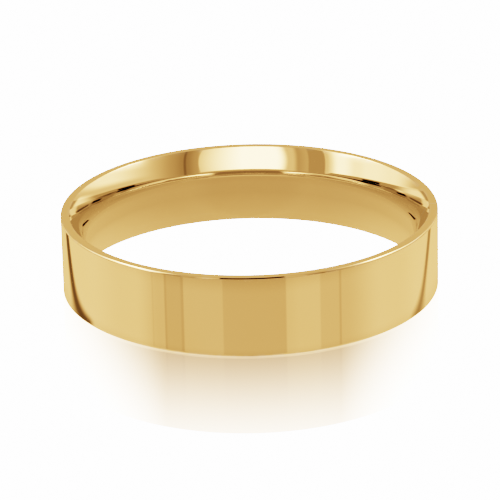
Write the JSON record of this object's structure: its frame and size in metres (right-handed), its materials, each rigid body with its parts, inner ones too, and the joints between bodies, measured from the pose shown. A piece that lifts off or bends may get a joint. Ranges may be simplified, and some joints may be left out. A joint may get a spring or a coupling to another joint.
{
  "type": "wedding band",
  "caption": "Plain polished yellow-gold finger ring with a flat outside, narrow flat rims and a rounded comfort-fit inside, closed by a flush soldered joint.",
  "frame": {"origin": "centre of the ring, halfway across its width", "axes": "+Z along the finger hole, +X through the soldered joint, +Y completes a right-handed frame"},
  "size_m": [0.0232, 0.0232, 0.005],
  "materials": {
    "yellow_gold": null,
    "gold_solder": "gold solder, a trace paler than the band, filed and polished flush"
  },
  "bodies": {
    "root": {"band_shank": "yellow_gold", "solder_seam": "gold_solder"}
  },
  "joints": []
}
